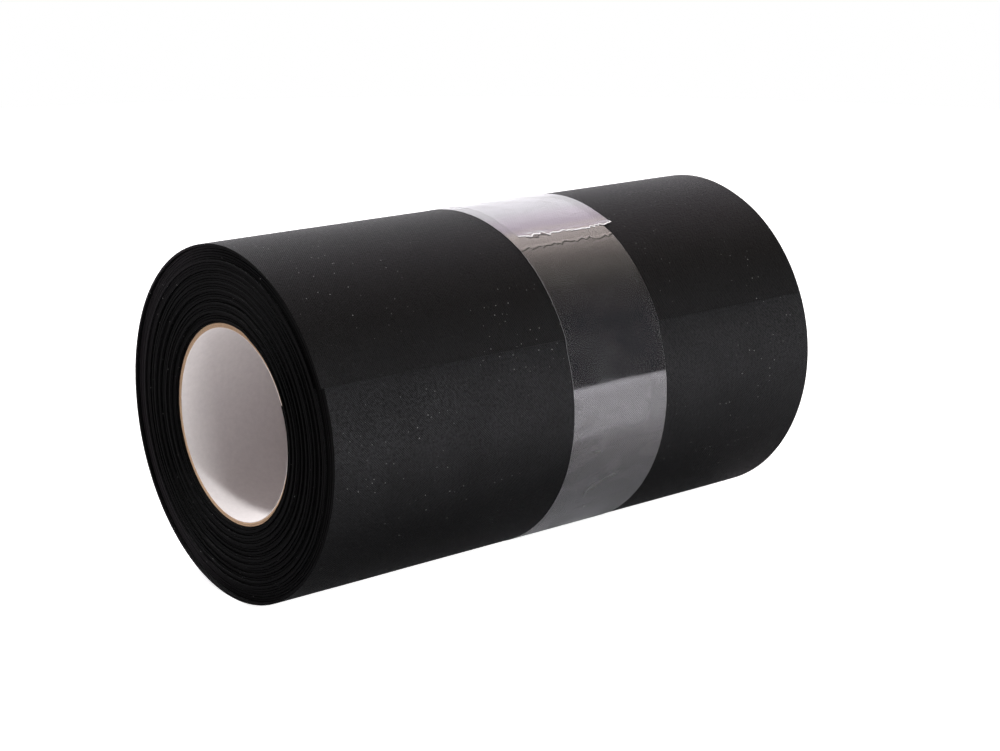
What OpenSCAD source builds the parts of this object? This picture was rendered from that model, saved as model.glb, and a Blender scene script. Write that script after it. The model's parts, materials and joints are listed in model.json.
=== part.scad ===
// Roll of rubber membrane on a paper core, lying on its side and held by a
// band of clear packing tape.
// The axis lies along X over Y = 0, with the floor at Z = 0 and the ends evenly about X = 0.
// Angles round the roll are measured from +Y towards +Z.

/* [Sheet] */
// Width of the membrane, which is the length of the roll
sheet_w = 250; // [150:5:400]
// Thickness of the membrane
sheet_t = 1; // [0.8:0.05:1.6]
// Air and talc left between one turn and the next
wind_gap = 0.04; // [0.02:0.01:0.1]
// Number of turns under the last two
inner_turns = 27; // [12:1:40]
// Bevel that slitting leaves on the edges of the membrane
edge_bevel = 0.15; // [0.05:0.05:0.3]
// How far single turns stand out of line at the ends of the roll
wander_max = 0.8; // [0:0.1:2]
// How far the outermost turn has slid towards the -X end
loose_shift = 1.6; // [0:0.1:3]
// How far the turn under it has slid the same way
under_shift = 0.6; // [0:0.1:3]
// Direction in which the outermost turn ends
lap_angle = 156; // [100:1:170]

/* [Core] */
// Bore of the paper core
core_bore_d = 76.2; // [50:0.1:110]
// Wall of the core at its thickest
core_wall = 2.1; // [1.6:0.1:6]
// Thickness of the core's outer ply, which ends in a small step
core_ply = 0.6; // [0.2:0.1:0.8]
// Direction in which the outer ply ends
ply_angle = 105; // [0:1:359]
// How far each end of the core lies inside the ends of the membrane
core_recess = 1.2; // [0:0.1:10]
// Clearance between the core and the first turn
core_gap = 0.05; // [0.02:0.01:0.2]

/* [Tape] */
// Width of the packing tape
tape_w = 50; // [24:1:75]
// Thickness of one layer of the tape
tape_t = 0.08; // [0.06:0.01:0.12]
// Middle of the first wrap, measured along X from the middle of the roll
tape_offset = 17; // [-40:1:40]
// How far the second wrap drifts sideways from the first
tape_drift = 3.5; // [0:0.5:6]
// Length over which the tape bridges the step of the lap
tape_bridge = 4.5; // [2:0.5:8]
// Direction in which the second wrap ends
tape_end_angle = 115; // [60:1:118]
// Direction in which the first wrap starts
tape_start_angle = 122.5; // [119:0.5:140]
// Pitch of the teeth that the dispenser cuts in the tape
tooth_pitch = 1.5; // [1:0.1:3]
// Depth of those teeth
tooth_depth = 0.7; // [0.3:0.1:1]

/* [Hidden] */
$fn = 180;

// Radial room that each turn of the membrane takes
pitch = sheet_t + wind_gap;
core_r = core_bore_d / 2 + core_wall;
core_len = sheet_w - 2 * core_recess;
// Radius at which the first turn starts
first_r = core_r + core_gap;
// Radius at which the last two turns start, and that of the rim just past the lap
inner_r = turn_r(inner_turns);
rim_r = inner_r + 2 * pitch;
// How deep each of the last two turns is bonded into what it lies on, so that all is one solid
bond = pitch / 4;
// Layers of tape all round, but for the gap between the torn ends
tape_layers = 2;
// The rim has climbed a little from the lap to where the roll meets the floor
axis_h = rim_r + tape_layers * tape_t + pitch / 4 * (1 + sin(lap_angle));
// How far the ends of the turns reach past the nominal ends of the roll
wanders = [for (turn = [0 : inner_turns - 1]) wander(turn)];
near_reach = max(loose_shift, under_shift, -min(wanders));
far_reach = max(wanders);
// Reach of the shapes that cut or complete others
beyond = 1;

// Inner radius of a turn, counted from 0 at the core
function turn_r(turn) = first_r + turn * pitch;

// Sideways place of a turn, which varies without a pattern that the eye can follow
function wander(turn) = wander_max * (0.6 * sin(97 * turn) + 0.4 * sin(41 * turn + 20));

// Edge of one turn in the half plane of radius and axis; out is -1 or 1, the way the edge faces
function turn_edge(turn, out) =
    let (z = out * sheet_w / 2 + wander(turn), back = z - out * edge_bevel)
    let (inside = turn_r(turn), outside = turn_r(turn + 1))
    [[inside, back], [inside + edge_bevel, z], [outside - edge_bevel, z], [outside, back]];

// All edges of the inner turns on one end, from the core to the rim
function end_profile(out) =
    [for (turn = [0 : inner_turns - 1]) for (corner = turn_edge(turn, out)) corner];

function reversed(list) = [for (i = [len(list) - 1 : -1 : 0]) list[i]];

// Zigzag of a torn edge across the tape, at a distance round the roll, with half a tooth to spare
function torn_edge(distance) =
    [for (i = [-1 : ceil(2 * tape_w / tooth_pitch) + 1])
        [distance + abs(i % 2) * tooth_depth, (i + 0.5) * tooth_pitch / 2]];

// Lays a shape drawn round the Z axis down on the floor along X
module laid_down() {
    translate([(near_reach - far_reach) / 2, 0, axis_h]) rotate([90, 0, 90]) children();
}

// Half disc above the X axis, with its centre on that axis
module half_disc(r, centre) {
    intersection() {
        translate([centre, 0]) circle(r);
        translate([centre - r - beyond, 0]) square([2 * (r + beyond), r + beyond]);
    }
}

// Disc whose rim climbs evenly by one step all the way round and drops back at angle 0, as the
// rim of a wound sheet does: two half discs on centres half a step apart
module stepped_disc(r, step) {
    half_disc(r + step / 4, -step / 4);
    mirror([0, 1]) half_disc(r + 3 * step / 4, step / 4);
}

// The turns under the last two, as one turned body whose ends show each turn
module inner_body() {
    rotate_extrude() polygon(concat(end_profile(-1), reversed(end_profile(1))));
}

// One of the last two turns, drawn around the shape in the middle that it is wound on
module outer_turn(r, shift) {
    translate([0, 0, -sheet_w / 2 - shift]) rotate(lap_angle) linear_extrude(sheet_w)
        difference() {
            stepped_disc(r, pitch);
            children();
        }
}

module membrane() {
    color("#2c2c30") laid_down() {
        inner_body();
        outer_turn(rim_r - pitch, under_shift) circle(inner_r - bond);
        outer_turn(rim_r, loose_shift) stepped_disc(rim_r - pitch - bond, pitch);
    }
}

// Paper tube whose outer ply ends in a step
module core() {
    color("#c4a07c") laid_down() translate([0, 0, -core_len / 2]) difference() {
        rotate(ply_angle) linear_extrude(core_len) stepped_disc(core_r - core_ply, core_ply);
        translate([0, 0, -beyond]) cylinder(h = core_len + 2 * beyond, d = core_bore_d);
    }
}

// Outer outline of the roll with a number of layers of tape on it, bridging the lap's step
module taped_outline(layers) {
    r = rim_r + layers * tape_t;
    landing_r = r - tape_t / 2;
    bridge_angle = tape_bridge / rim_r * 180 / PI;
    rotate(lap_angle) {
        stepped_disc(r, pitch);
        polygon([[r - pitch, 0], [r + pitch, 0], landing_r * [cos(bridge_angle), sin(bridge_angle)]]);
    }
}

// One layer of tape all the way round, with its edge nearest -X at z = 0
module tape_layer(layer) {
    linear_extrude(tape_w) difference() {
        taped_outline(layer);
        taped_outline(layer - 1);
    }
}

// Space between the torn end of the second wrap and the torn start of the first
module torn_gap() {
    gap_w = (tape_start_angle - tape_end_angle) / 180 * PI * rim_r;
    rotate((tape_end_angle + tape_start_angle) / 2) translate([rim_r - beyond, 0, 0])
        rotate([90, 0, 90]) linear_extrude(pitch + 2 * beyond)
            polygon(concat(torn_edge(-gap_w / 2), reversed(torn_edge(gap_w / 2))));
}

module tape() {
    color([0.8, 0.78, 0.82, 0.5]) laid_down() translate([0, 0, tape_offset - tape_w / 2]) {
        tape_layer(1);
        translate([0, 0, tape_drift]) difference() {
            tape_layer(2);
            torn_gap();
        }
    }
}

membrane();
core();
tape();
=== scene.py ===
"""Looks of a roll of rubber membrane on a paper core, held by a band of clear tape."""

import json
import math

import bmesh
import bpy
from bpy.props import FloatProperty, FloatVectorProperty, IntProperty, PointerProperty
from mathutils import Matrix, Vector, noise


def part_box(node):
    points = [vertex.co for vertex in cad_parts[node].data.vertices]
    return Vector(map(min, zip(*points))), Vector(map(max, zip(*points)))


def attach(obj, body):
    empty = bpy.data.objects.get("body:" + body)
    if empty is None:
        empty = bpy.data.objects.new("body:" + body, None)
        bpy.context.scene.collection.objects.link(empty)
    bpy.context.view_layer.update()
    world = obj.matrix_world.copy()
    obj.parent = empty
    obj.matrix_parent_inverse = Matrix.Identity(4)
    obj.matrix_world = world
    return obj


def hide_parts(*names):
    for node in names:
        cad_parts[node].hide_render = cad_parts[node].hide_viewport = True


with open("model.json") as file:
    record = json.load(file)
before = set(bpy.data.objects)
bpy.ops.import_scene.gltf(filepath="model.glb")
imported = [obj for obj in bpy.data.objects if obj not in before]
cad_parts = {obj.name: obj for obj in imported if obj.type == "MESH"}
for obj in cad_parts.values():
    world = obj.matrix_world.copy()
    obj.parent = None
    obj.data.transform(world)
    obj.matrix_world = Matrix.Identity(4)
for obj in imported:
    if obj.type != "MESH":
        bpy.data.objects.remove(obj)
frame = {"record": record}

bl_info = {
    "name": "Membrane Roll",
    "version": (1, 0, 0),
    "blender": (4, 5, 0),
    "location": "View3D > Sidebar > Membrane Roll",
    "description": "Builds the sheet, the core and the tape of a roll of rubber membrane",
    "category": "Object",
}

MM = 0.001
TURN = 2 * math.pi
# arc of the rim that one degree spans, in mm, and the radius that the sheet's map is laid out on
MM_PER_DEGREE = 1.24
MAP_RADIUS = 71 * MM

BORE = frame["record"]["mounts"][0]
AXIS = Vector(BORE["pos_m"])
CORE_BORE = BORE["dims"]["r_mm"] * MM
CORE_LENGTH = BORE["dims"]["length_mm"] * MM
SHEET_LOW, SHEET_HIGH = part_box("membrane")

# shallow bulge of the outer turns by the near end
BULGE_AT = math.radians(33)
BULGE_SPAN = 0.75
BULGE_REACH = 110 * MM
BULGE_HEIGHT = 0.55 * MM
# how far the last turns slide along the axis, and from and to which turn, counted from the lap
SLIDES = (
    (0.35 * MM, -6, -3),
    (-1.45 * MM, 0.02, 0.25),
    (-0.5 * MM, 0.80, 0.88),
    (-1.2 * MM, 0.92, 0.975),
)

# sideways middle of the tape in mm from the near end, against degrees past its start
TAPE_ROUTE = (
    (0, 139.1),
    (38, 139.9),
    (60, 140.4),
    (80, 141),
    (117, 141.3),
    (320, 136.4),
    (338, 137.6),
    (349, 138.4),
    (360, 139.1),
    (397, 139.8),
    (440, 140.9),
    (480, 141.6),
    (680, 143.4),
    (707, 143.1),
    (714, 143.8),
)
# soft creases of the tape: height and reach in mm, and points in mm from the near end and degrees
CREASES = (
    (0.2, 1.5, ((147.2, 207), (140, 208.3), (135, 210.7), (132.3, 213.4), (131.5, 217))),
    (0.16, 1.4, ((131.5, 222.3), (140.3, 223.3))),
    (0.05, 2.0, ((121, 181), (133, 184), (147, 186.6))),
    (0.06, 1.0, ((125.9, 195.7), (133, 196), (140.9, 195))),
    (0.08, 3.0, ((118, 190), (127, 189.5), (133, 192))),
)
# degrees between which the tape has slack patches
SLACK_FROM, SLACK_TO = 174, 270

# painted light and shade on the outer side of the last turn, lighter just past the lap and darker
# above it and underneath, against the share of the turn past the lap
PAINTED_LIGHT_PAST_LAP = (
    (0, 0.75),
    (0.03, 1),
    (0.06, 1),
    (0.09, 0.6),
    (0.14, 0.2),
    (0.2, 0),
    (0.78, 0.2),
    (0.87, 0.3),
    (0.91, 0.2),
    (0.95, 0.1),
    (0.98, 0.3),
    (1, 0.4),
)
# refractive index of the film where two layers lie, and where there is one
DOUBLE_INDEX, SINGLE_INDEX = 1.74, 2.12

FLOOR_RADIUS = 1.45
# what the roll mirrors: colour of the studio against the way along +Y, from -1 to 1
STUDIO = (
    (-0.60, (0.018, 0.018, 0.020)),
    (-0.34, (0.06, 0.055, 0.05)),
    (-0.07, (0.20, 0.178, 0.16)),
    (0.05, (0.32, 0.28, 0.255)),
    (0.33, (0.98, 0.86, 0.82)),
    (0.42, (0.80, 0.70, 0.79)),
    (0.53, (0.92, 0.83, 0.92)),
    (0.64, (0.92, 0.90, 0.94)),
)
# name, place from the middle of the roll, size in metres and power in watts of each lamp
LAMPS = (
    ("key", (-0.36, 0.62, 0.96), 0.14, 13),
    ("fill", (-0.15, -1.16, 0.25), 0.5, 9),
    ("sheen", (0.42, -1.09, 0.26), 0.4, 6.5),
)
# place from the middle of the near end, pitch and heading in degrees, and lens of the camera
CAMERA_PLACE = Vector((-406.5, -663.4, 227)) * MM
CAMERA_PITCH, CAMERA_HEADING = 74.99, -39.21
CAMERA_LENS = 74.82


# ---------------------------------------------------------------- settings


def length(name, description, default):
    return FloatProperty(name=name, description=description, default=default, unit="LENGTH")


def direction(name, description, degrees):
    return FloatProperty(
        name=name, description=description, default=math.radians(degrees), subtype="ANGLE"
    )


def colour(name, description, default):
    return FloatVectorProperty(
        name=name, description=description, default=default, subtype="COLOR", min=0, max=1
    )


class SheetSettings(bpy.types.PropertyGroup):
    """Sizes and colours of the membrane"""

    width: length("Width", "Width of the membrane, which is the length of the roll", 250 * MM)
    pitch: length("Pitch", "Room that one turn takes, its thickness and the air on it", 1.04 * MM)
    turns: IntProperty(name="Turns", description="Turns of membrane on the core", default=30)
    bevel: length("Edge bevel", "Bevel that slitting leaves on the edges", 0.15 * MM)
    lap: direction("Lap", "Direction in which the free end of the membrane lies", 156)
    wander: length("Wander", "How far turns stand out of line at the ends", 0.75 * MM)
    weave: length("Weave", "Pitch of the textile pattern pressed into the membrane", 0.95 * MM)
    face: colour("Face", "Colour of the faces of the membrane", (0.0045, 0.0045, 0.0049))
    edge: colour("Edge", "Colour of its cut edges", (0.0008, 0.0007, 0.0008))
    talc: colour("Talc", "Colour of the grains of talc on it", (0.22, 0.22, 0.22))


class CoreSettings(bpy.types.PropertyGroup):
    """Sizes and colours of the paper core"""

    wall: length("Wall", "Wall of the core at its thickest", 2.1 * MM)
    ply: length("Ply", "Thickness of the outer ply, which ends in a step", 0.6 * MM)
    ply_end: direction("Ply end", "Direction in which the outer ply ends", 105)
    liner: length("Liner", "Thickness of the white liner", 0.3 * MM)
    kraft: colour("Kraft", "Colour of the cut plies", (0.50, 0.34, 0.22))
    white: colour("White", "Colour of the liner", (0.78, 0.74, 0.735))


class TapeSettings(bpy.types.PropertyGroup):
    """Sizes and colours of the packing tape"""

    width: length("Width", "Width of the tape", 50 * MM)
    film: length("Film", "Thickness of the film", 0.06 * MM)
    layer: length("Layer", "Radial room that one layer of the tape takes", 0.08 * MM)
    start: direction("Start", "Direction in which the first wrap starts", 122.5)
    end: direction("End", "Direction in which the second wrap ends", 116)
    tooth: length("Tooth", "Pitch of the teeth along the torn ends", 1.5 * MM)
    bridge: length("Bridge", "Length over which the tape bridges the step of the lap", 5 * MM)
    tint: colour("Tint", "Colour of the film", (0.93, 0.92, 0.94))


# ---------------------------------------------------------------- measures


def smooth(value, low, high):
    """Goes evenly curved from 0 to 1 as value goes from low to high."""
    t = min(max((value - low) / (high - low), 0), 1)
    return t * t * (3 - 2 * t)


def hump(off, reach):
    """Smooth bump of height 1 that is gone at reach to either side."""
    return 1 - smooth(abs(off), 0, reach)


def between(angle, middle):
    """Signed turn from the middle to an angle, within half a turn."""
    return (angle - middle + math.pi) % TURN - math.pi


def rise(past):
    """Share of one step that a wound rim has climbed, at an angle past its lap."""
    past = (past + 1e-9) % TURN
    return (1 - math.cos(past)) / 4 if past < math.pi else (3 + math.cos(past)) / 4


def grain(x, angle, r, size):
    """Even noise over the roll, with lumps of about a size."""
    return noise.noise(Vector((x, r * math.cos(angle), r * math.sin(angle))) / size)


def at(x, r, angle):
    """Point of the roll at a radius and an angle, measured from +Y towards +Z."""
    return Vector((x, AXIS.y + r * math.cos(angle), AXIS.z + r * math.sin(angle)))


def core_rim(core, angle):
    """Radius of the outer side of the core, whose outer ply ends in a step."""
    return CORE_BORE + core.wall + core.ply * (rise(angle - core.ply_end) - 1)


def sheet_bore(core, angle):
    """Radius of the first turn's inner side, which bridges the end of the core's ply."""
    past = (angle - core.ply_end) % TURN
    return core_rim(core, angle) + core.ply * (1 - smooth(past, 0, 0.14)) + 0.05 * MM


def sheet_radius(sheet, core, x, t):
    """Radius of the outer side of the sheet, t turns after it starts on the core."""
    angle = sheet.lap + TURN * t
    first = CORE_BORE + core.wall - core.ply
    rim = SHEET_HIGH.y - AXIS.y - sheet.pitch * rise(-sheet.lap)
    grow = (rim + sheet.pitch - first) / sheet.turns
    far_out = smooth(t, 0, sheet.turns)
    even = (t % 1) * grow
    r = first + grow * t + (rise(t * TURN) * grow - even) * far_out
    r += (sheet_bore(core, angle) - first) * (1 - far_out)
    near = AXIS.x - sheet.width / 2
    bulge = hump(between(angle, BULGE_AT), BULGE_SPAN) * hump(x - near, BULGE_REACH)
    return r + far_out**2 * (BULGE_HEIGHT * bulge + 0.05 * MM * grain(x, angle, r, 26 * MM))


def top_radius(sheet, core, x, angle):
    """Radius of the outer side of the finished roll."""
    return sheet_radius(sheet, core, x, sheet.turns - 1 + ((angle - sheet.lap) % TURN) / TURN)


def sheet_shift(sheet, t):
    """Sideways place of the sheet, t turns after its start, away from the nominal end."""
    angle = sheet.lap + TURN * t
    quiet = hump(between(angle, math.radians(100)), 1.3) * hump(t - 17, 9)
    ripple = 0.6 * math.sin(math.radians(133 * t)) + 0.4 * math.sin(math.radians(41 * t + 20))
    shift = sheet.wander * ripple * (1 - 0.85 * quiet)
    shift += 0.06 * MM * noise.noise(Vector((t * 3, 0, 0)))
    last = t - (sheet.turns - 1)
    if last < -6:
        return shift
    shift *= 1 - 0.8 * smooth(last, -6, -3)
    for slide, low, high in SLIDES:
        shift += slide * smooth(last, low, high)
    return max(shift, SHEET_LOW.x - (AXIS.x - sheet.width / 2) + 0.01 * MM)


# ---------------------------------------------------------------- meshes


def wind(bm, places, steps, turns, flat, closed=False):
    """Winds a line of points round the axis: one turn of strip is spun, a copy is added for each
    turn, and places(k, t) and flat(k, t) say where point k lies and is mapped after t turns."""
    count = places.count
    strip = bmesh.new()
    line = [strip.verts.new(at(AXIS.x + k * MM, CORE_BORE, 0)) for k in range(count)]
    ahead = line[1:] + (line[:1] if closed else [])
    edges = [strip.edges.new(pair) for pair in zip(line, ahead)]
    bmesh.ops.spin(
        strip,
        geom=line + edges,
        cent=AXIS,
        axis=(1, 0, 0),
        angle=TURN,
        steps=steps,
        use_merge=False,
    )
    mesh = bpy.data.meshes.new("strip")
    strip.to_mesh(mesh)
    strip.free()
    uv = bm.loops.layers.uv.verify()
    for turn in range(turns):
        first_vert, first_face = len(bm.verts), len(bm.faces)
        bm.from_mesh(mesh)
        bm.verts.index_update()
        bm.verts.ensure_lookup_table()
        bm.faces.ensure_lookup_table()
        mapped = []
        for index in range(first_vert, len(bm.verts)):
            step, k = divmod(index - first_vert, count)
            t = turn + step / steps
            bm.verts[index].co = places(k, t)
            mapped.append(flat(k, t))
        for face in bm.faces[first_face:]:
            for loop in face.loops:
                loop[uv].uv = mapped[loop.vert.index - first_vert]
    bpy.data.meshes.remove(mesh)


class Places:
    """Where each point of a wound line lies, and how many points it has."""

    def __init__(self, count, place):
        self.count = count
        self.place = place

    def __call__(self, k, t):
        return self.place(k, t)


def close(bm, merge):
    """Merges doubles, fills what is open and turns all faces outward."""
    bmesh.ops.remove_doubles(bm, verts=bm.verts, dist=merge)
    bmesh.ops.dissolve_degenerate(bm, edges=bm.edges, dist=merge / 4)
    open_edges = [edge for edge in bm.edges if edge.is_boundary]
    bmesh.ops.holes_fill(bm, edges=open_edges, sides=0)
    bmesh.ops.recalc_face_normals(bm, faces=bm.faces)


def shade(bm, sharp):
    """Smooth shading with hard edges where faces meet at more than an angle."""
    for face in bm.faces:
        face.smooth = True
    for edge in bm.edges:
        edge.smooth = edge.calc_face_angle(0) < sharp


def piece_from(bm, name, node, materials):
    """Makes a finished bmesh a piece that rides on the frame and stands for a node."""
    mesh = bpy.data.meshes.new(name)
    bm.to_mesh(mesh)
    bm.free()
    for material in materials:
        mesh.materials.append(material)
    piece = bpy.data.objects.new(name, mesh)
    bpy.context.scene.collection.objects.link(piece)
    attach(piece, "root")
    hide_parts(node)


def sheet_mesh(sheet, core):
    """The wound membrane as one closed skin: two spiral ends, the bore and the last outer side."""
    steps, across = 144, 24
    near, far = AXIS.x - sheet.width / 2, AXIS.x + sheet.width / 2
    groove, crack = 2.6 * MM, 0.045 * MM
    # share of the turn's thickness, inset from it and depth from the edge, from inside outwards
    corners = (
        (0, 0, groove),
        (0, crack, sheet.bevel),
        (0, crack + sheet.bevel, 0),
        (1, crack + sheet.bevel, 0),
        (1, crack, sheet.bevel),
        (1, 0, groove),
    )
    # corner at which the cut edge meets the outer side
    top = 4

    def edge_point(side, corner, t):
        """Point on the cut edge; side is -1 at the near end and 1 at the far end."""
        level, inset, depth = corners[corner]
        end = near if side < 0 else far
        x = end - side * depth + (sheet_shift(sheet, t) if depth < groove else 0)
        outer = sheet_radius(sheet, core, x, t)
        if t < 1:
            inner = sheet_bore(core, sheet.lap + TURN * t)
        else:
            inner = sheet_radius(sheet, core, x, t - 1)
        inset = min(inset, 0.45 * (outer - inner))
        return at(x, outer - inset if level else inner + inset, sheet.lap + TURN * t)

    def outer_point(k, t):
        """Point of the last turn, from the groove at the near end over the top to the far one."""
        t += sheet.turns - 1
        if k <= top:
            return edge_point(-1, k, t)
        if k >= top + across:
            return edge_point(1, 2 * top + across - k, t)
        x = edge_point(-1, top, t).lerp(edge_point(1, top, t), (k - top) / across).x
        return at(x, sheet_radius(sheet, core, x, t), sheet.lap + TURN * t)

    def mapped(place):
        def flat(k, t):
            return (t * TURN * MAP_RADIUS, place(k, t).x - near)

        return flat

    bm = bmesh.new()
    wound = sheet.turns - 1
    last = len(corners) - 1
    near_end = Places(len(corners), lambda k, t: edge_point(-1, k, t))
    far_end = Places(len(corners), lambda k, t: edge_point(1, last - k, t))
    wind(bm, near_end, steps, wound, mapped(near_end))
    wind(bm, far_end, steps, wound, mapped(far_end))
    outside = Places(2 * top + across + 1, outer_point)
    wind(bm, outside, steps, 1, mapped(outside))
    bore = Places(2, lambda k, t: edge_point((-1, 1)[k], 0, t))
    wind(bm, bore, steps, 1, mapped(bore))
    close(bm, merge=2e-7)
    # cut edges face along the axis, and the filled ends of the sheet have many corners
    for face in bm.faces:
        face.material_index = 1 if abs(face.normal.x) > 0.3 or len(face.verts) > 4 else 0
    shade(bm, math.radians(30))
    return bm


def core_mesh(core):
    """The paper tube: cut plies at both ends, the white liner inside and the outer ply's end."""
    near, far = AXIS.x - CORE_LENGTH / 2, AXIS.x + CORE_LENGTH / 2
    wall, liner = core.wall - core.ply, core.liner
    # share of the outer ply, height over the bore and how far back from the end, outside first
    rims = (
        (1, wall, 0.12 * MM),
        (1, wall - 0.06 * MM, 0),
        (0, wall, 0.02 * MM),
        (0, wall - 0.04 * MM, 0.1 * MM),
        (0, 0.6 * wall + 0.02 * MM, 0.1 * MM),
        (0, 0.6 * wall, 0),
        (0, liner + 0.05 * MM, 0.03 * MM),
        (0, liner, 0.1 * MM),
        (0, 0.05 * MM, 0.03 * MM),
        (0, 0, 0.1 * MM),
    )
    count = len(rims)

    def place(k, t):
        angle = core.ply_end + TURN * t
        side = -1 if k < count else 1
        share, height, back = rims[k if k < count else 2 * count - 1 - k]
        grown = rise(TURN * t) if t < 1 else 1
        r = CORE_BORE + height + share * core.ply * max(grown, 0.02)
        end = near if side < 0 else far
        rough = 0.05 * MM * (1 + noise.noise(Vector((t * 90, r * 900, side))))
        return at(end - side * (back + rough), r, angle)

    def mapped(k, t):
        return (t * TURN * CORE_BORE, places(k, t).x - near)

    bm = bmesh.new()
    places = Places(2 * count, place)
    wind(bm, places, 240, 1, mapped, closed=True)
    close(bm, merge=2e-7)
    inside = CORE_BORE + liner * 0.9
    for face in bm.faces:
        middle = face.calc_center_median() - AXIS
        face.material_index = 1 if math.hypot(middle.y, middle.z) < inside else 0
    shade(bm, math.radians(28))
    return bm


def on_route(route, value):
    """Value on the straight lines between the points of a route."""
    for (a, low), (b, high) in zip(route, route[1:]):
        if value <= b:
            return low + (high - low) * (value - a) / (b - a)
    return route[-1][1]


def spot_at(out, angle):
    """Spot on the unrolled rim in mm, from its distance to the near end and its angle."""
    return Vector((out / MM, math.degrees(angle % TURN) * MM_PER_DEGREE))


def crease(spot):
    """Height of the tape's creases at a spot, in mm across and along."""
    total = 0
    for height, reach, points in CREASES:
        corners = [Vector((x, degrees * MM_PER_DEGREE)) for x, degrees in points]
        nearest, passed, whole = math.inf, 0, 0
        for start, stop in zip(corners, corners[1:]):
            run = stop - start
            share = min(max((spot - start).dot(run) / run.length_squared, 0), 1)
            gap = (spot - start - run * share).length
            if gap < nearest:
                nearest, passed = gap, whole + share * run.length
            whole += run.length
        if nearest < reach:
            total += height * hump(nearest, reach) * smooth(min(passed, whole - passed), -0.5, 3)
    return total


def tape_mesh(tape, sheet, core):
    """Nearly two wraps of film as one closed strip that climbs over its own start."""
    columns = round(tape.width / (tape.tooth / 2)) + 1
    total = 2 * TURN - (tape.start - tape.end)
    near = AXIS.x - sheet.width / 2
    r0 = SHEET_HIGH.y - AXIS.y
    reach = tape.bridge / r0
    lap = sheet.lap - tape.start
    lip = 0.5 * MM / r0
    # angles past the start, each with the number of rows that lead to it
    stations = (
        (0, 0),
        (lip, 1),
        (4 * lip, 1),
        (lap, 17),
        (lap + reach, 4),
        (TURN - 0.04, 168),
        (TURN, 6),
        (TURN + lip, 1),
        (TURN + lap, 16),
        (TURN + lap + reach, 6),
        (TURN + 0.92, 9),
        (TURN + 1.85, 100),
        (total - 0.06, 126),
        (total - 4 * lip, 8),
        (total - lip, 6),
        (total, 1),
    )
    pasts = [0]
    for (low, _), (high, count) in zip(stations, stations[1:]):
        pasts += [low + (high - low) * i / count for i in range(1, count + 1)]
    rows = (len(pasts) - 1) // 2

    def along(t):
        return pasts[round(t * rows)]

    def outline(x, angle):
        """Radius of what the tape lies on, with the step of the lap bridged."""
        past = (angle - sheet.lap + 1e-9) % TURN
        if past >= reach:
            return top_radius(sheet, core, x, angle)
        high = sheet_radius(sheet, core, x, sheet.turns)
        low = top_radius(sheet, core, x, sheet.lap + reach)
        rest = math.sin(reach - past)
        return high * low * math.sin(reach) / (high * math.sin(past) + low * rest)

    def place(k, t):
        top = k < columns
        column = k if top else 2 * columns - 1 - k
        across = column / (columns - 1) - 0.5
        laid = past = along(t)
        second = past > TURN * 1.5
        torn = past == 0 or past == total
        x = near + on_route(TAPE_ROUTE, math.degrees(past)) * MM + across * tape.width
        # the torn ends, and the wrap that lies over the start, are shifted along by uneven teeth
        fade = 1 - smooth(min(laid, abs(laid - TURN), total - laid) * r0, 0, 3 * MM)
        if fade > 0:
            teeth = column * 0.13 + noise.noise(Vector((column * 0.11, second, 2)))
            bite = 1.5 * (teeth % 1) + 1.2 * noise.noise(Vector((column * 0.17, second, 1)))
            bite += (column % 2) * (0.2 + 0.4 * noise.noise(Vector((column * 7.3, second, 4))))
            past += (bite if second else -bite) * fade * MM / r0
        angle = tape.start + past
        climb = smooth(laid, TURN - 2.2 * MM / r0, TURN - 0.2 * MM / r0)
        level = climb * tape.layer + 0.01 * MM
        thick = 0 if torn else tape.film
        r = outline(x, angle) + level + (thick if top else 0)
        if past > TURN * 1.05 and not torn:
            r += crease(spot_at(x - near, angle)) * MM
        # the torn end curls up, most at two places along it
        left = max(total - past, 0)
        curl = hump(x - near - 128 * MM, 7 * MM) * 0.8 + hump(x - near - 172 * MM, 12 * MM) * 0.45
        curl += 0.16 + 0.12 * noise.noise(Vector((column * 0.5, 3, 1)))
        r += curl * MM * (1 - smooth(left * r0, 0, 2.2 * MM)) if past > TURN else 0
        return at(x, r, angle)

    def alone(past, across):
        """Whether only one layer of the tape lies here."""
        other = past + TURN if past + TURN < total else past - TURN
        if other < 0:
            return True
        here, there = (on_route(TAPE_ROUTE, math.degrees(angle)) for angle in (past, other))
        return not 0 < across - (there - here) * MM < tape.width

    bm = bmesh.new()
    places = Places(2 * columns, place)

    def flat(k, t):
        column = k if k < columns else 2 * columns - 1 - k
        return (along(t) * r0, column / (columns - 1) * tape.width)

    wind(bm, places, rows, 2, flat, closed=True)
    close(bm, merge=1e-6)
    slack = bm.verts.layers.float.new("slack")
    for vert in bm.verts:
        angle = math.atan2(vert.co.z - AXIS.z, vert.co.y - AXIS.y)
        spot = spot_at(vert.co.x - near, angle)
        loose = SLACK_FROM < math.degrees(angle % TURN) < SLACK_TO
        patch = noise.noise(Vector((spot.x / 14, spot.y / 8, 5))) if loose else 0
        vert[slack] = min(crease(spot) / 0.2 + 0.6 * smooth(patch, -0.05, 0.3), 1)
    uv = bm.loops.layers.uv.verify()
    for face in bm.faces:
        around = [loop[uv].uv.x for loop in face.loops]
        across = [loop[uv].uv.y for loop in face.loops]
        past = sum(around) / len(around) / r0
        slit = max(across) - min(across) < 0.01 * MM
        # painted shade: the tape's first half millimetre and the wrap over it are dark, a painted
        # shadow line along the buried start
        if past < lip or TURN < past < TURN + lip:
            face.material_index = 3
        # pale slit edges, where cut film scatters light, and a painted highlight on the last half
        # millimetre of the torn end
        elif slit or past > total - lip:
            face.material_index = 2
        elif alone(past, sum(across) / len(across)):
            face.material_index = 1
    shade(bm, math.radians(50))
    return bm


# ---------------------------------------------------------------- materials


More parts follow.
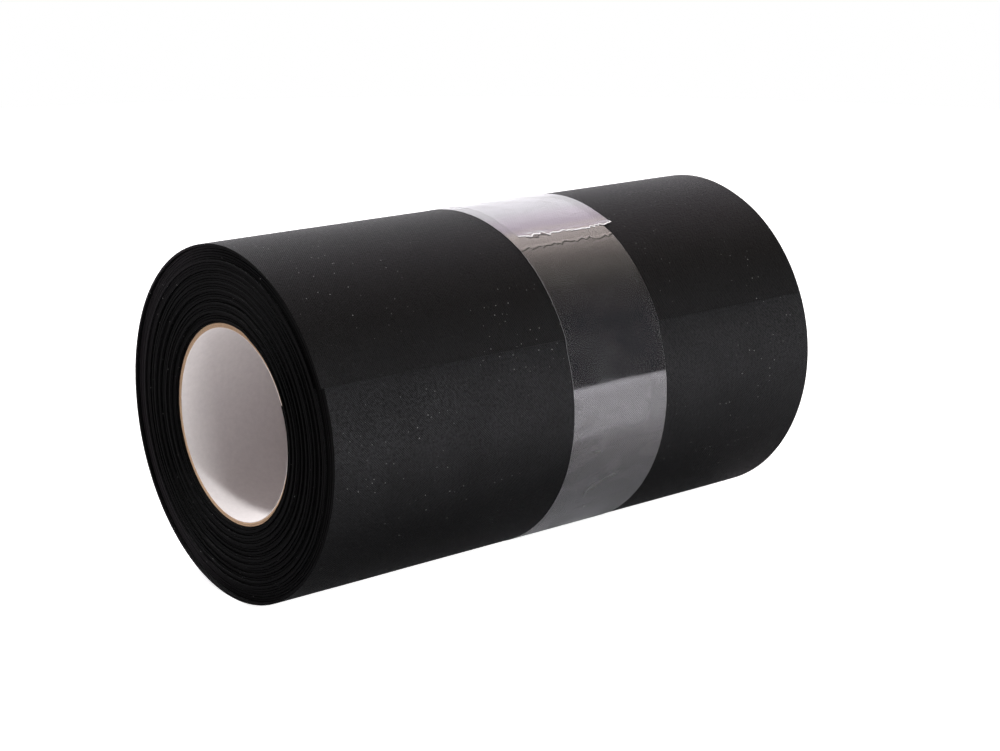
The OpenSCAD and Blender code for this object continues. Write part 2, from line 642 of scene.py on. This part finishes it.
def new_material(name, base, roughness):
    """Material with one Principled shader of a colour and a roughness."""
    material = bpy.data.materials.new(name)
    material.use_nodes = True
    material.diffuse_color = (*base, 1)
    shader = material.node_tree.nodes["Principled BSDF"]
    shader.inputs["Base Color"].default_value = (*base, 1)
    shader.inputs["Roughness"].default_value = roughness
    return material, shader


def new_node(material, kind, label):
    """Adds a node with a label to a material or a world."""
    node = material.node_tree.nodes.new(kind)
    node.label = label
    return node


def link(material, socket, goal):
    """Links a socket to the input of another node."""
    material.node_tree.links.new(socket, goal)


def math_node(material, operation, label, a, b=None):
    """Math node on two sockets or numbers."""
    node = new_node(material, "ShaderNodeMath", label)
    node.operation = operation
    for i, value in enumerate((a, b)):
        if isinstance(value, bpy.types.NodeSocket):
            link(material, value, node.inputs[i])
        elif value is not None:
            node.inputs[i].default_value = value
    return node.outputs[0]


def vector_node(material, operation, label, vector, by=(0, 0, 0)):
    """Vector math node on a socket and a plain vector."""
    node = new_node(material, "ShaderNodeVectorMath", label)
    node.operation = operation
    node.inputs[1].default_value = by
    link(material, vector, node.inputs[0])
    return node.outputs["Value" if operation == "LENGTH" else "Vector"]


def parts_of(material, vector):
    """The three parts of a vector."""
    node = new_node(material, "ShaderNodeSeparateXYZ", "parts")
    link(material, vector, node.inputs[0])
    return node.outputs


def ramp_node(material, label, value, stops):
    """Colour ramp over a value, from pairs of a position and a colour."""
    node = new_node(material, "ShaderNodeValToRGB", label)
    link(material, value, node.inputs[0])
    elements = node.color_ramp.elements
    while len(elements) < len(stops):
        elements.new(1)
    for element, (position, tone) in zip(elements, stops):
        element.position, element.color = position, (*tone, 1)
    return node.outputs[0]


def noise_node(material, vector, label, scale, detail=2, roughness=0.5):
    """Noise of a scale per metre on a coordinate."""
    node = new_node(material, "ShaderNodeTexNoise", label)
    node.inputs["Scale"].default_value = scale
    node.inputs["Detail"].default_value = detail
    node.inputs["Roughness"].default_value = roughness
    link(material, vector, node.inputs["Vector"])
    return node.outputs[0]


def range_node(material, value, label, low, high, to_low, to_high):
    """Maps a range of a value to another, held at its ends."""
    node = new_node(material, "ShaderNodeMapRange", label)
    link(material, value, node.inputs[0])
    for i, number in enumerate((low, high, to_low, to_high), 1):
        node.inputs[i].default_value = number
    return node.outputs[0]


def mix_colours(material, label, factor, a, b):
    """Mixes two colours, each a socket or plain numbers."""
    node = new_node(material, "ShaderNodeMix", label)
    node.data_type = "RGBA"
    link(material, factor, node.inputs[0])
    # the colour inputs of a Mix node are its seventh and eighth
    for i, value in ((6, a), (7, b)):
        if isinstance(value, bpy.types.NodeSocket):
            link(material, value, node.inputs[i])
        else:
            node.inputs[i].default_value = (*value, 1)
    return node.outputs[2]


def bump(material, shader, height, strength, distance, below=None):
    """Bump of a height, as a share of a distance in metres, laid over another normal."""
    node = new_node(material, "ShaderNodeBump", "relief")
    node.inputs["Strength"].default_value = strength
    node.inputs["Distance"].default_value = distance
    link(material, height, node.inputs["Height"])
    if below:
        link(material, below, node.inputs["Normal"])
    link(material, node.outputs[0], shader.inputs["Normal"])
    return node.outputs[0]


def coordinates(material):
    """Object coordinates and the piece's own map, both in metres."""
    node = new_node(material, "ShaderNodeTexCoord", "coordinates")
    return node.outputs["Object"], node.outputs["UV"]


def talc_on(material, base, sheet, place, amount):
    """Scatters single grains of talc over a colour."""
    cells = new_node(material, "ShaderNodeTexVoronoi", "grains of talc")
    cells.inputs["Scale"].default_value = 420
    link(material, place, cells.inputs["Vector"])
    near = range_node(material, cells.outputs["Distance"], "size of a grain", 0.07, 0.11, 1, 0)
    lucky = math_node(material, "GREATER_THAN", "few cells", cells.outputs["Color"], 1 - amount)
    dusty = noise_node(material, place, "dusty places", 18, 1)
    dusty = range_node(material, dusty, "dusty places", 0.48, 0.62, 0.1, 1)
    grains = math_node(material, "MULTIPLY", "grains", near, lucky)
    grains = math_node(material, "MULTIPLY", "grains", grains, dusty)
    return mix_colours(material, "talc", grains, base, tuple(sheet.talc))


def rubber_face(sheet):
    """Black rubber with a fine textile pattern pressed in, a satin sheen, a little talc, and
    painted light and shade along the last turn.
    """
    material, shader = new_material("rubber_face", sheet.face, 0.5)
    place, flat = coordinates(material)
    along, across, _ = parts_of(material, flat)
    threads = []
    for label, socket in (("warp", along), ("weft", across)):
        turns = math_node(material, "MULTIPLY", label, socket, TURN / sheet.weave)
        threads.append(math_node(material, "SINE", label, turns))
    weave = math_node(material, "MULTIPLY", "weave", *threads)
    stretch = new_node(material, "ShaderNodeMapping", "threads a little longer than wide")
    stretch.inputs["Scale"].default_value = (1, 0.85, 1)
    link(material, flat, stretch.inputs[0])
    slubs = noise_node(material, stretch.outputs[0], "uneven threads", 900, 2, 0.6)
    weave = math_node(material, "MULTIPLY", "weave", weave, 0.3)
    height = math_node(material, "ADD", "relief", weave, slubs)
    normal = bump(material, shader, height, 1, 0.3 * MM)
    waves = noise_node(material, place, "slack", 45, 2)
    bump(material, shader, waves, 0.25, 1.2 * MM, normal)
    tone = range_node(material, height, "tone of the threads", 0.36, 0.64, 0, 1)
    cloud = noise_node(material, place, "handling", 60, 3)
    cloud = range_node(material, cloud, "handling", 0.3, 0.7, 0.8, 1.2)
    tone = math_node(material, "MULTIPLY", "handled threads", tone, cloud)
    share = math_node(material, "MULTIPLY", "share of the turn", along, 1 / (TURN * MAP_RADIUS))
    # painted light and shade: the threads are lighter just past the lap and darker above the lap
    # and underneath
    stops = [(position, (level, level, level)) for position, level in PAINTED_LIGHT_PAST_LAP]
    painted_light = ramp_node(material, "painted light and shade along the last turn", share, stops)
    tone = math_node(material, "MULTIPLY", "threads with painted light", tone, painted_light)
    deep, light = (tuple(factor * c for c in sheet.face) for factor in (0.2, 5))
    base = mix_colours(material, "threads with painted light", tone, deep, light)
    base = talc_on(material, base, sheet, place, 0.5)
    link(material, base, shader.inputs["Base Color"])
    rough = range_node(material, slubs, "roughness", 0.3, 0.7, 0.36, 0.46)
    link(material, rough, shader.inputs["Roughness"])
    shader.inputs["Specular IOR Level"].default_value = 0.08
    return material


def rubber_edge(sheet):
    """Cut edge of the rubber, dull, finely streaked by the knife, with painted light making its
    outer turns paler on the +Y side, toward the bright studio.
    """
    material, shader = new_material("rubber_edge", sheet.edge, 0.55)
    place, _ = coordinates(material)
    streaks = noise_node(material, place, "knife marks", 700, 3, 0.6)
    bump(material, shader, streaks, 0.5, 0.08 * MM)
    from_axis = vector_node(material, "SUBTRACT", "from the axis", place, AXIS)
    _, *sides = parts_of(material, from_axis)
    squares = [math_node(material, "MULTIPLY", "square", side, side) for side in sides]
    out = math_node(material, "ADD", "squares", *squares)
    out = math_node(material, "SQRT", "radius", out)
    # painted light: the outer turns are made paler on the +Y side, which faces the bright studio
    rim = range_node(material, out, "outer turns", 60 * MM, 71 * MM, 0, 1)
    side = range_node(material, sides[0], "side toward the bright studio", 0, 30 * MM, 0, 1)
    painted_rim_light = math_node(material, "MULTIPLY", "painted_rim_light", rim, side)
    pale = tuple(22 * c for c in sheet.edge)
    base = mix_colours(material, "painted_rim_light", painted_rim_light, tuple(sheet.edge), pale)
    base = talc_on(material, base, sheet, place, 0.2)
    link(material, base, shader.inputs["Base Color"])
    shader.inputs["Specular IOR Level"].default_value = 0.03
    return material


def paper(name, base, spread, scale, depth):
    """Paper with fibres, of a colour that varies a little."""
    material, shader = new_material(name, base, 0.85)
    place, _ = coordinates(material)
    fibres = noise_node(material, place, "fibres", scale, 4, 0.65)
    tone = range_node(material, fibres, "tone", 0.3, 0.7, 0, 1)
    dark = tuple(c * (1 - spread) for c in base)
    light = tuple(min(c * (1 + spread), 1) for c in base)
    link(material, mix_colours(material, "tone", tone, dark, light), shader.inputs["Base Color"])
    bump(material, shader, fibres, 0.4, depth)
    shader.inputs["Specular IOR Level"].default_value = 0.25
    return material


def clear_film(tape, name, index):
    """Clear glossy film of a refractive index, slightly slack where it lies on the weave."""
    material, shader = new_material(name, tape.tint, 0.05)
    place, _ = coordinates(material)
    shader.inputs["Transmission Weight"].default_value = 0.992
    shader.inputs["IOR"].default_value = index
    uneven = noise_node(material, place, "laid on the weave", 700, 2, 0.5)
    normal = bump(material, shader, uneven, 0.2, 0.01 * MM)
    waves = noise_node(material, place, "slack", 110, 0)
    bump(material, shader, waves, 0.07, 0.5 * MM, normal)
    haze = noise_node(material, place, "haze", 35, 3)
    haze = range_node(material, haze, "haze", 0.35, 0.7, 0.02, 0.07)
    slack = new_node(material, "ShaderNodeAttribute", "slack")
    slack.attribute_name = "slack"
    milky = math_node(material, "MULTIPLY", "milky where slack", slack.outputs["Fac"], 0.3)
    haze = math_node(material, "ADD", "haze", haze, milky)
    link(material, haze, shader.inputs["Roughness"])
    return material


# ---------------------------------------------------------------- operators


class ROLL_OT_sheet(bpy.types.Operator):
    """Winds the membrane"""

    bl_idname = "roll.sheet"
    bl_label = "Membrane"

    def execute(self, context):
        sheet, core = context.scene.roll_sheet, context.scene.roll_core
        materials = (rubber_face(sheet), rubber_edge(sheet))
        piece_from(sheet_mesh(sheet, core), "membrane_wound", "membrane", materials)
        return {"FINISHED"}


class ROLL_OT_core(bpy.types.Operator):
    """Winds the paper core"""

    bl_idname = "roll.core"
    bl_label = "Core"

    def execute(self, context):
        core = context.scene.roll_core
        kraft = paper("kraft", core.kraft, 0.18, 1500, 0.06 * MM)
        liner = paper("liner", core.white, 0.04, 500, 0.03 * MM)
        piece_from(core_mesh(core), "core_tube", "core", (kraft, liner))
        return {"FINISHED"}


class ROLL_OT_tape(bpy.types.Operator):
    """Wraps the band of clear tape"""

    bl_idname = "roll.tape"
    bl_label = "Tape"

    def execute(self, context):
        scene = context.scene
        bm = tape_mesh(scene.roll_tape, scene.roll_sheet, scene.roll_core)
        film = clear_film(scene.roll_tape, "clear_film", DOUBLE_INDEX)
        single = clear_film(scene.roll_tape, "clear_film_single", SINGLE_INDEX)
        # pale film edge with a painted highlight along the torn end
        edge_with_glint, _ = new_material("film_edge_painted_glint", (0.8, 0.78, 0.8), 0.4)
        # dark film as painted shade along the buried start of the tape
        start, _ = new_material("film_start_painted_shade", (0.02, 0.018, 0.015), 0.5)
        piece_from(bm, "tape_band", "tape", (film, single, edge_with_glint, start))
        return {"FINISHED"}


def stage_floor(scene):
    """Round pale floor whose far side is lost in the white of the studio."""
    bm = bmesh.new()
    bmesh.ops.create_circle(bm, cap_ends=True, segments=128, radius=FLOOR_RADIUS)
    mesh = bpy.data.meshes.new("floor")
    bm.to_mesh(mesh)
    bm.free()
    floor = bpy.data.objects.new("floor", mesh)
    scene.collection.objects.link(floor)
    material, shader = new_material("floor", (0.8, 0.8, 0.8), 0.8)
    shader.inputs["Specular IOR Level"].default_value = 0
    path = new_node(material, "ShaderNodeLightPath", "rays").outputs
    in_tape = (path["Is Glossy Ray"], path["Is Transmission Ray"])
    in_tape = math_node(material, "MAXIMUM", "in the tape", *in_tape)
    # how far the floor lies from the line under the roll
    apart, _ = coordinates(material)
    apart = vector_node(material, "ABSOLUTE", "either side", apart)
    apart = vector_node(material, "SUBTRACT", "past the ends", apart, (CORE_LENGTH / 2, 0, 0))
    apart = vector_node(material, "MAXIMUM", "past the ends", apart)
    apart = vector_node(material, "LENGTH", "from the roll", apart)
    # in mirrors the floor is a darker grey and glows only away from the roll: painted shade near
    # the roll, painted light farther out
    mirror_light_away_from_roll = range_node(material, apart, "painted light away from the roll", 0.06, 0.20, 0, 0.20)
    seen = math_node(material, "MULTIPLY", "seen", path["Is Camera Ray"], 0.8)
    mirrored_glow = math_node(material, "MULTIPLY", "mirrored_glow", in_tape, mirror_light_away_from_roll)
    lift = math_node(material, "MAXIMUM", "lift", seen, mirrored_glow)
    base = mix_colours(material, "in the tape", in_tape, (0.8, 0.8, 0.8), (0.50, 0.50, 0.52))
    link(material, base, shader.inputs["Base Color"])
    shader.inputs["Emission Color"].default_value = (1, 1, 1, 1)
    link(material, lift, shader.inputs["Emission Strength"])
    mesh.materials.append(material)


def stage_world(scene):
    """White studio: bright behind the roll, dark in front of it, and white to the camera."""
    world = bpy.data.worlds.new("studio")
    world.use_nodes = True
    sight = new_node(world, "ShaderNodeTexCoord", "coordinates").outputs["Generated"]
    toward, back, _ = parts_of(world, sight)
    back = range_node(world, back, "front to back", -1, 1, 0, 1)
    stops = [((way + 1) / 2, tone) for way, tone in STUDIO]
    around = world.node_tree.nodes["Background"]
    link(world, ramp_node(world, "studio", back, stops), around.inputs["Color"])
    strength = range_node(world, toward, "near to far end", -0.6, 0.3, 0.8, 1.45)
    link(world, strength, around.inputs["Strength"])
    white = new_node(world, "ShaderNodeBackground", "white")
    white.inputs["Color"].default_value = (1, 1, 1, 1)
    mix = new_node(world, "ShaderNodeMixShader", "white to the camera")
    path = new_node(world, "ShaderNodeLightPath", "rays").outputs
    link(world, path["Is Camera Ray"], mix.inputs[0])
    link(world, around.outputs[0], mix.inputs[1])
    link(world, white.outputs[0], mix.inputs[2])
    link(world, mix.outputs[0], world.node_tree.nodes["World Output"].inputs["Surface"])
    scene.world = world


def softbox(scene, name, place, target, size, energy):
    """Round area lamp that faces a point and isn't seen itself."""
    lamp = bpy.data.lights.new(name, "AREA")
    lamp.shape = "DISK"
    lamp.size = size
    lamp.energy = energy
    box = bpy.data.objects.new(name, lamp)
    box.location = place
    box.visible_camera = False
    box.rotation_euler = (Vector(place) - Vector(target)).to_track_quat("Z", "Y").to_euler()
    scene.collection.objects.link(box)


def stage_camera(scene, sheet):
    """Camera in front of the near end, looking down on the roll."""
    camera = bpy.data.cameras.new("camera")
    camera.lens, camera.sensor_width = CAMERA_LENS, 36
    eye = bpy.data.objects.new("camera", camera)
    eye.location = AXIS - Vector((sheet.width / 2, 0, 0)) + CAMERA_PLACE
    eye.rotation_euler = (math.radians(CAMERA_PITCH), 0, math.radians(CAMERA_HEADING))
    scene.collection.objects.link(eye)
    scene.camera = eye


class ROLL_OT_stage(bpy.types.Operator):
    """Lays the floor, hangs the lamps and sets the camera"""

    bl_idname = "roll.stage"
    bl_label = "Stage"

    def execute(self, context):
        scene = context.scene
        scene.view_settings.view_transform = "Standard"
        stage_floor(scene)
        stage_world(scene)
        stage_camera(scene, scene.roll_sheet)
        for name, place, size, energy in LAMPS:
            softbox(scene, name, AXIS + Vector(place), AXIS, size, energy)
        return {"FINISHED"}


class ROLL_PT_panel(bpy.types.Panel):
    """Lists the pieces of the roll and the stage"""

    bl_idname = "ROLL_PT_panel"
    bl_label = "Membrane Roll"
    bl_space_type = "VIEW_3D"
    bl_region_type = "UI"
    bl_category = "Membrane Roll"

    def draw(self, context):
        for step in STEPS:
            self.layout.operator(step.bl_idname)


# ---------------------------------------------------------------- registration

STEPS = (ROLL_OT_sheet, ROLL_OT_core, ROLL_OT_tape, ROLL_OT_stage)
CLASSES = (SheetSettings, CoreSettings, TapeSettings, *STEPS, ROLL_PT_panel)


def register():
    for cls in CLASSES:
        bpy.utils.register_class(cls)
    bpy.types.Scene.roll_sheet = PointerProperty(type=SheetSettings)
    bpy.types.Scene.roll_core = PointerProperty(type=CoreSettings)
    bpy.types.Scene.roll_tape = PointerProperty(type=TapeSettings)


def unregister():
    del bpy.types.Scene.roll_sheet
    del bpy.types.Scene.roll_core
    del bpy.types.Scene.roll_tape
    for cls in reversed(CLASSES):
        bpy.utils.unregister_class(cls)


def main():
    """Builds the membrane, the core, the tape and the stage, in order."""
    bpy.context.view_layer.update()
    register()
    bpy.ops.roll.sheet()
    bpy.ops.roll.core()
    bpy.ops.roll.tape()
    bpy.ops.roll.stage()


if __name__ == "__main__":
    main()
